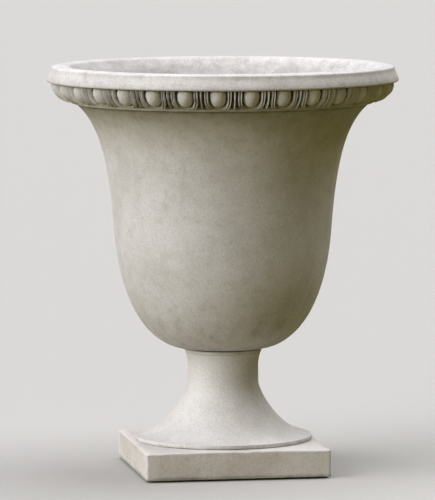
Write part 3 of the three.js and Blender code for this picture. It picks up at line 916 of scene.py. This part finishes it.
def mortar_bed(finish):
    """Thin bed of mortar squeezed out unevenly under the foot."""
    outline = [(CORE_HOLE, 0.0, 0.0), (BED_RADIUS, 0.0, 0.4)]
    outline += [(BED_RADIUS, BED_THICKNESS, 0.4), (CORE_HOLE, BED_THICKNESS, 0.0)]
    mesh = turned("mortar_bed", eased(outline, 20.0), FOOT_SEGMENTS, BED_Z)
    squeezed_from = 0.1
    for v in mesh.vertices:
        if v.co.length > squeezed_from:
            push = 1 + 0.022 * noise.noise(v.co / 0.02) + 0.01 * noise.noise(v.co / 0.006)
            v.co.x *= push
            v.co.y *= push
    mesh.update()
    piece("mortar_bed", mesh, finish, "base", "mortar", "foot_bed")


def drain_tube():
    """Tube threaded over its whole length, the thread running out at both ends."""
    pitch, rise = THREAD
    around = THREAD_SEGMENTS
    tooth = ((0.0, 0.0), (0.35, 0.0), (0.5, 1.0), (0.85, 1.0))
    low, high = TUBE_Z
    turns = math.ceil((high - low) / pitch) + 2
    angle = np.arange(around + 1) * 2 * math.pi / around
    rows = [(turn - 1 + share, crest) for turn in range(turns) for share, crest in tooth]
    along, crest = np.array(rows).T
    height = along[:, None] * pitch + low + pitch * angle / (2 * math.pi)
    fade = np.clip(np.minimum(height - low, high - height) / pitch, 0, 1)
    root = TUBE_RADIUS - rise
    skin = swept(root + rise * crest[:, None] * fade, angle, np.clip(height, low, high))
    faces = quads(*skin.shape[:2], rows_close=False, columns_close=False)
    skin = skin.reshape(-1, 3)
    ends = ((root, low), (TUBE_BORE, low), (TUBE_BORE, high), (root, high))
    for row in range(len(ends) - 1):
        for k in range(around):
            a = len(skin) + row * around
            b = a + around
            faces.append([a + (k + 1) % around, a + k, b + k, b + (k + 1) % around])
    points = np.vstack([skin, *(swept(radius, angle[:-1], level) for radius, level in ends)])
    return welded(built("drain_tube", points, faces), 50)


def welded(mesh, sharp):
    """Joins points that lie together, drops faces left without area, and turns all faces outwards."""
    work = bmesh.new()
    work.from_mesh(mesh)
    bmesh.ops.remove_doubles(work, verts=work.verts, dist=0.02 * MM)
    bmesh.ops.dissolve_degenerate(work, dist=0.005 * MM, edges=work.edges)
    bmesh.ops.recalc_face_normals(work, faces=work.faces)
    work.to_mesh(mesh)
    work.free()
    return settled(mesh, sharp)


def hex_nut(name, z):
    """Chamfered hexagon nut with countersunk holes."""
    half, height = NUT
    flat = half * 0.97
    sink = THREAD_HOLE + 1.2
    ease, ease_rise = 0.3, 0.17
    angle = np.arange(NUT_SEGMENTS) * 2 * math.pi / NUT_SEGMENTS
    reach = half / np.cos((angle % (math.pi / 3)) - math.pi / 6)
    cut = np.maximum(0, reach - flat) * math.tan(math.radians(30))
    rows = [
        (THREAD_HOLE, 1.0),
        (sink, 0.0),
        (flat, 0.0),
        (reach - ease, cut - ease_rise),
        (reach, cut + ease),
        (reach, height - ease - cut),
        (reach - ease, height - cut + ease_rise),
        (flat, height),
        (sink, height),
        (THREAD_HOLE, height - 1.0),
    ]
    return looped(name, [swept(r, angle, h + z) for r, h in rows], 22)


def flat_ring(name, inner, outer, thickness, z, ease):
    corners = [(inner, 0.0, ease), (outer, 0.0, ease), (outer, thickness, ease), (inner, thickness, ease)]
    return turned(name, eased(corners), SMALL_SEGMENTS, z)


def outlet_sleeve(finish):
    """Moulded lining of the bowl's outlet, with its flange sunk level with the floor."""
    bore, wall, flange, thickness = SLEEVE
    top = FLOOR[1]
    under = top - thickness
    corners = [(bore, 0.0, 0.8), (wall, 0.0, 0.8), (wall, under, 0.0)]
    corners += [(flange, under, 0.6), (flange, top, 0.8), (bore, top, 1.5)]
    mesh = turned("outlet_sleeve", eased(corners), SMALL_SEGMENTS, BOWL_Z)
    piece("outlet_lining", mesh, finish, "bowl", "sleeve_plastic", "outlet_sleeve")


def disc(name, radius, thickness, z, ease):
    """Flat disc with eased edges."""
    angle = np.arange(SMALL_SEGMENTS) * 2 * math.pi / SMALL_SEGMENTS
    corners = [(0.0, 0.0, 0.0), (radius, 0.0, ease), (radius, thickness, ease), (0.0, thickness, 0.0)]
    return looped(name, [swept(r, angle, z + h) for r, h, _ in eased(corners)[1:-1]], capped=True)


def drain_screen(finish):
    """Loose screen: a disc with one hole in the middle and six round it."""
    sizes = {
        "Holes": 6,
        "Hole Radius": SCREEN_HOLE * MM,
        "Circle Radius": SCREEN_HOLE_CIRCLE * MM,
        "Height": (BOWL_Z + FLOOR[1] + SCREEN[1] / 2) * MM,
        "Depth": 4 * SCREEN[1] * MM,
        "Finish": finish,
    }
    pattern = Pattern("perforated_screen", sizes)
    inputs = {"Vertices": 32, "Radius": pattern.given("Hole Radius"), "Depth": pattern.given("Depth")}
    punch = pattern.wire("GeometryNodeMeshCylinder", inputs)
    inputs = {0: pattern.given("Holes"), 1: pattern.given("Circle Radius")}
    circle = pattern.wire("GeometryNodeMeshCircle", inputs)
    centre = pattern.wire("GeometryNodePoints", {"Count": 1})
    spots = pattern.node("GeometryNodeJoinGeometry")
    for source in (pattern.wire("GeometryNodeMeshToPoints", {0: circle}), centre):
        pattern.tree.links.new(source.socket, spots.inputs[0])
    inputs = {0: Wire(pattern, spots.outputs[0]), "Instance": punch}
    punches = pattern.wire("GeometryNodeInstanceOnPoints", inputs)
    lift = pattern.wire("ShaderNodeCombineXYZ", {"Z": pattern.given("Height")})
    punches = pattern.wire("GeometryNodeTransform", {"Geometry": punches, "Translation": lift})
    punches = pattern.wire("GeometryNodeRealizeInstances", {0: punches})
    inputs = {"Mesh 1": pattern.given("Geometry"), "Mesh 2": punches}
    plate = pattern.wire("GeometryNodeMeshBoolean", inputs, operation="DIFFERENCE")
    pattern.ended(plate)
    blank = disc("screen_blank", *SCREEN, BOWL_Z + FLOOR[1], SCREEN_EASE)
    piece("screen_plate", pattern.grown(blank, 30), None, "screen", "screen_steel", "drain_screen")


def rubber_pad(x, y, finish):
    """Square rubber packer with ribs moulded across both of its faces."""
    rib_radius, rib_rise = PAD_RIB
    side_margin, end_margin = PAD_RIB_MARGINS
    core = PAD_THICKNESS - 2 * rib_rise
    plan = square_plan(PAD_SIDE / 2, PAD_CORNER, 2, 4)
    rows = [(0.97, 0.0), (1.0, 0.35), (1.0, core - 0.35), (0.97, core)]
    rings = [np.concatenate([plan * s, np.full((len(plan), 1), h + rib_rise)], 1) for s, h in rows]
    base = looped("packer", rings, capped=True)
    sizes = {
        "Ribs": PAD_RIBS,
        "Rib Radius": rib_radius * MM,
        "Rib Length": (PAD_SIDE - 2 * end_margin) * MM,
        "Pitch": (PAD_SIDE - 2 * side_margin) / (PAD_RIBS - 1) * MM,
        "Top": (PAD_THICKNESS - rib_radius) * MM,
        "Bottom": rib_radius * MM,
        "Finish": finish,
    }
    pattern = Pattern("ribbed_packer", sizes)
    inputs = {"Vertices": 8, "Radius": pattern.given("Rib Radius"), "Depth": pattern.given("Rib Length")}
    rib = pattern.wire("GeometryNodeMeshCylinder", inputs)
    rib = pattern.wire("GeometryNodeTransform", {"Geometry": rib, "Rotation": (math.pi / 2, 0, 0)})
    step = pattern.wire("ShaderNodeCombineXYZ", {"X": pattern.given("Pitch")})
    joined = pattern.node("GeometryNodeJoinGeometry")
    pattern.tree.links.new(pattern.given("Geometry").socket, joined.inputs[0])
    half_row = pattern.given("Pitch") * -0.5 * (pattern.given("Ribs") - 1.0)
    for level in ("Top", "Bottom"):
        start = pattern.wire("ShaderNodeCombineXYZ", {"X": half_row, "Z": pattern.given(level)})
        inputs = {"Count": pattern.given("Ribs"), "Start Location": start, "Offset": step}
        line = pattern.wire("GeometryNodeMeshLine", inputs)
        row = pattern.wire("GeometryNodeInstanceOnPoints", {"Points": line, "Instance": rib})
        pattern.tree.links.new(row.socket, joined.inputs[0])
    pattern.ended(Wire(pattern, joined.outputs[0]))
    mesh = pattern.grown(base, 30)
    mesh.transform(Matrix.Translation((x * MM, y * MM, 0)))
    return mesh


def lamp(name, direction, level, colour):
    """Distant soft lamp; at level 1 a surface that faces it shows its own colour."""
    data = bpy.data.lights.new(name, "SUN")
    data.energy = level * math.pi
    data.color = colour
    data.angle = LAMP_SOFTNESS
    thing = placed(name, data)
    thing.location = direction
    thing.rotation_euler = Vector(direction).to_track_quat("Z", "Y").to_euler()


def camera():
    """Camera at the place and angle of the photograph."""
    flat = math.cos(CAMERA_PITCH)
    ahead = (-math.sin(CAMERA_AZIMUTH) * flat, math.cos(CAMERA_AZIMUTH) * flat, -math.sin(CAMERA_PITCH))
    ahead = Vector(ahead)
    level = Vector((math.cos(CAMERA_AZIMUTH), math.sin(CAMERA_AZIMUTH), 0.0))
    upright = level.cross(ahead)
    right = math.cos(CAMERA_ROLL) * level + math.sin(CAMERA_ROLL) * upright
    up = -math.sin(CAMERA_ROLL) * level + math.cos(CAMERA_ROLL) * upright
    data = bpy.data.cameras.new("camera")
    data.sensor_width = SENSOR
    data.lens = LENS
    data.clip_end = CLIP_END
    thing = placed("camera", data)
    turn = Matrix((right, up, -ahead)).transposed().to_4x4()
    thing.matrix_world = Matrix.Translation(CAMERA_PLACE) @ turn
    bpy.context.scene.camera = thing


# Studio: tones and levels of light, and the floor's reach, in metres
LAMP_SOFTNESS = math.radians(60)
LAMPS = (
    ("key", (-0.87, -0.18, 0.38), 0.63, (0.98, 0.985, 1.0)),
    ("sky", (-0.45, -0.1, 0.88), 0.45, (0.93, 0.93, 1.0)),
    ("front", (-0.78, -0.62, 0.0), 0.52, (1.0, 0.97, 0.88)),
    ("fill", (0.36, 0.12, 0.93), 0.79, (0.98, 0.98, 1.0)),
    ("side", (0.92, -0.3, 0.15), 0.05, (1.0, 0.88, 0.3)),
)
SURROUND = ((1.0, 0.92, 0.7, 1.0), 0.02)
FLOOR_TONE = tone(186, 184, 181)
FLOOR_BOUNCE = tone(86, 78, 18)
FLOOR_REACH = 60.0
BACKDROP_TONE = tone(223, 222, 219)


def studio():
    """Pale floor, soft lamps and a plain surround."""
    mesh = bpy.data.meshes.new("studio_floor")
    corners = [(x * FLOOR_REACH, y * FLOOR_REACH, 0) for x, y in ((-1, -1), (1, -1), (1, 1), (-1, 1))]
    mesh.from_pydata(corners, [], [(0, 1, 2, 3)])
    mesh.materials.append(floor_finish())
    floor = placed("studio_floor", mesh)
    for name, direction, level, colour in LAMPS:
        lamp(name, direction, level, colour)
    world = bpy.data.worlds.new("surround")
    world.use_nodes = True
    bpy.context.scene.world = world
    nodes = Nodes(world.node_tree)
    colour, level = SURROUND
    light = nodes.wire("ShaderNodeBackground", {"Color": colour, "Strength": level})
    shown = nodes.wire("ShaderNodeBackground", {"Color": BACKDROP_TONE, "Strength": 1.0})
    both = nodes.wire("ShaderNodeMixShader", {0: nodes.shown(), 1: light, 2: shown})
    nodes.node("ShaderNodeOutputWorld", {"Surface": both})
    bpy.context.scene.view_settings.view_transform = "Standard"


def fixings(finish):
    """Threaded tube with its nuts and washers."""
    piece("threaded_tube", drain_tube(), finish, "base", "tube_steel", "drain_tube")
    levels = (("lower", LOWER_WASHER_Z, LOWER_NUT_Z), ("upper", UPPER_WASHER_Z, UPPER_NUT_Z))
    for place, washer_z, nut_z in levels:
        washer, nut = f"{place}_round_washer", f"{place}_hex_nut"
        ring = flat_ring(washer, THREAD_HOLE, *WASHER, washer_z, 0.5)
        piece(washer, ring, finish, "base", "fixing_steel", f"{place}_washer")
        piece(nut, hex_nut(nut, nut_z), finish, "base", "fixing_steel", f"{place}_nut")


def seals(pad_finish, gasket_finish):
    """Rubber pads under the plinth and the gasket under the bowl."""
    for row, y in (("front", -1), ("back", 1)):
        for side, x in (("left", -1), ("right", 1)):
            mesh = rubber_pad(x * PAD_REACH, y * PAD_REACH, pad_finish)
            piece(f"packer_{row}_{side}", mesh, None, "base", "pad_rubber", f"pad_{row}_{side}")
    inner, outer, thickness = GASKET
    ring = flat_ring("seat_gasket", inner, outer, thickness, GASKET_Z, 1.1)
    piece("seat_gasket", ring, gasket_finish, "seat", "gasket_rubber", "bowl_gasket")


camera()
# Pale tone for wear and painted highlight, dark tone for soil and painted shade
wear_highlight_soil_shade_tones = (tone(224, 222, 222), tone(64, 61, 26))
bowl_tones = (tone(220, 217, 217), tone(207, 203, 201), tone(176, 171, 152), *wear_highlight_soil_shade_tones)
foot_tones = (tone(226, 223, 222), tone(215, 211, 208), tone(193, 187, 176), *wear_highlight_soil_shade_tones)
plinth_tones = (tone(223, 218, 213), tone(209, 201, 194), tone(186, 174, 158), *wear_highlight_soil_shade_tones)
bowl_finish = cast_stone("bowl_stone", 0.0, *bowl_tones, top_stain_and_shade=(0.54, 0.64, 0.644, 0.66))
foot_finish = cast_stone("foot_stone", 1.3, *foot_tones)
plinth_finish = cast_stone("plinth_stone", 2.6, *plinth_tones)
bowl_casting(bowl_finish)
bowl_band(bowl_finish)
foot_casting(foot_finish)
plinth_slab(plinth_finish)
mortar_bed(mortar_finish())
fixings(galvanised_finish())
seals(rubber_finish("pad_rubber", 7.1), rubber_finish("gasket_rubber", 7.9))
outlet_sleeve(plastic_finish())
drain_screen(screen_finish())
studio()
